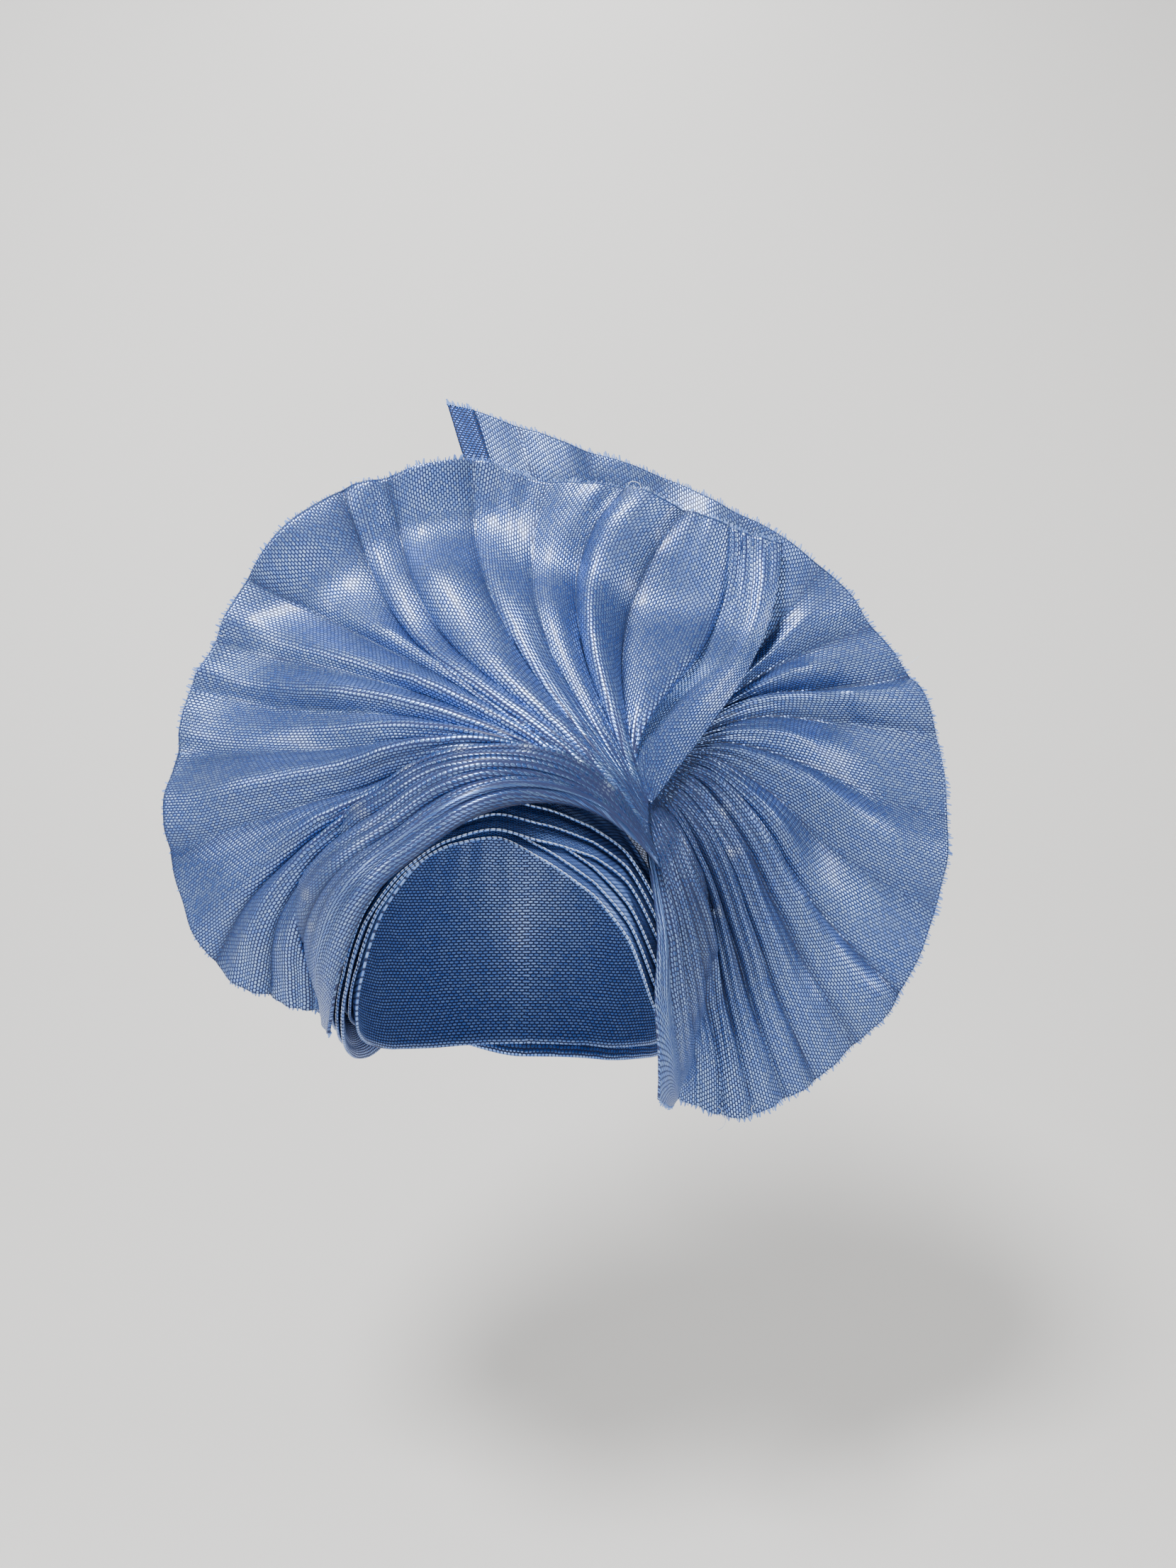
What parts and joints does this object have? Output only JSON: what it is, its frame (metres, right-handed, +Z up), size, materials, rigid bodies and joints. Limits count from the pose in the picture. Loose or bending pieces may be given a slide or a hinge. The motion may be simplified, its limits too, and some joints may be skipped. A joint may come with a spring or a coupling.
{
  "type": "tied gele head tie",
  "caption": "Tied gele head tie of stiff blue basket-woven cloth: pleated wraps round the head, gathered over the brow into a wide front fan and a taller rear fan with a turned end hem.",
  "frame": {"origin": "middle of the opening for the head, at ear height, where a head holds the tie", "axes": "+Z up, the face looks along -Y, +X is the viewer's right when seen from the front, the side of the gather"},
  "size_m": [0.3819, 0.1866, 0.3526],
  "materials": {
    "fan_cloth": "stiff shiny basket weave in two blues with pale lights on the raised threads",
    "band_cloth": "the same weave seen from its darker side, pulled flat",
    "hem_cloth": "dark turned end hem with frayed thread ends"
  },
  "bodies": {
    "root": {"crown_cap": "band_cloth", "band_wrap_1": "band_cloth", "band_wrap_2": "band_cloth", "band_wrap_3": "band_cloth", "band_wrap_4": "band_cloth", "band_wrap_5": "band_cloth", "band_wrap_6": "band_cloth", "front_fan": "fan_cloth", "rear_fan": "fan_cloth", "leaf_hem": "hem_cloth"}
  },
  "joints": []
}
